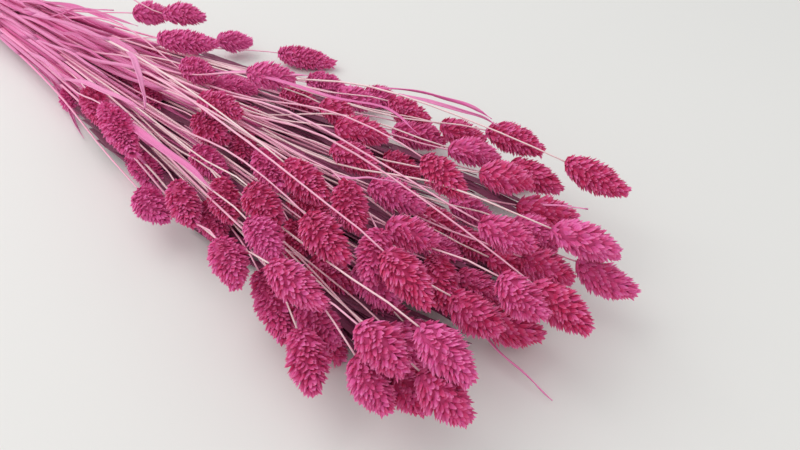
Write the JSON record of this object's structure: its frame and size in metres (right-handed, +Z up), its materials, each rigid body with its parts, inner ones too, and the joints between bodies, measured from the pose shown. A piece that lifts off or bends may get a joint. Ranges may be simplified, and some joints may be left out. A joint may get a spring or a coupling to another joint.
{
  "type": "dried canary grass bunch",
  "caption": "Dried canary grass bunch lying on a table: thin dyed stems held by a band near their cut ends fan out to oval seed heads of overlapping scales, with loose narrow leaves.",
  "frame": {"origin": "middle of the bunch's box, on the surface it lies on", "axes": "+X along the bunch from the cut ends to the seed heads, +Y across it, +Z up"},
  "size_m": [0.7122, 0.2276, 0.0752],
  "materials": {
    "dyed_grass": "dyed magenta, dry and matt",
    "band_rubber": "natural, satin"
  },
  "bodies": {
    "root": {"band": "band_rubber", "culms_01": "dyed_grass", "culms_02": "dyed_grass", "culms_03": "dyed_grass", "culms_04": "dyed_grass", "culms_05": "dyed_grass", "culms_06": "dyed_grass", "culms_07": "dyed_grass", "culms_08": "dyed_grass", "culms_09": "dyed_grass", "culms_10": "dyed_grass", "culms_11": "dyed_grass", "culms_12": "dyed_grass", "culms_13": "dyed_grass", "culms_14": "dyed_grass", "culms_15": "dyed_grass", "culms_16": "dyed_grass", "culms_17": "dyed_grass", "culms_18": "dyed_grass", "culms_19": "dyed_grass", "culms_20": "dyed_grass", "culms_21": "dyed_grass", "culms_22": "dyed_grass", "culms_23": "dyed_grass", "culms_24": "dyed_grass", "culms_25": "dyed_grass", "culms_26": "dyed_grass", "culms_27": "dyed_grass", "culms_28": "dyed_grass", "culms_29": "dyed_grass", "culms_30": "dyed_grass", "culms_31": "dyed_grass", "culms_32": "dyed_grass", "culms_33": "dyed_grass", "culms_34": "dyed_grass", "culms_35": "dyed_grass", "culms_36": "dyed_grass", "culms_37": "dyed_grass", "culms_38": "dyed_grass", "culms_39": "dyed_grass", "culms_40": "dyed_grass", "culms_41": "dyed_grass", "culms_42": "dyed_grass", "culms_43": "dyed_grass", "culms_44": "dyed_grass", "culms_45": "dyed_grass", "culms_46": "dyed_grass", "culms_47": "dyed_grass", "culms_48": "dyed_grass"}
  },
  "joints": []
}
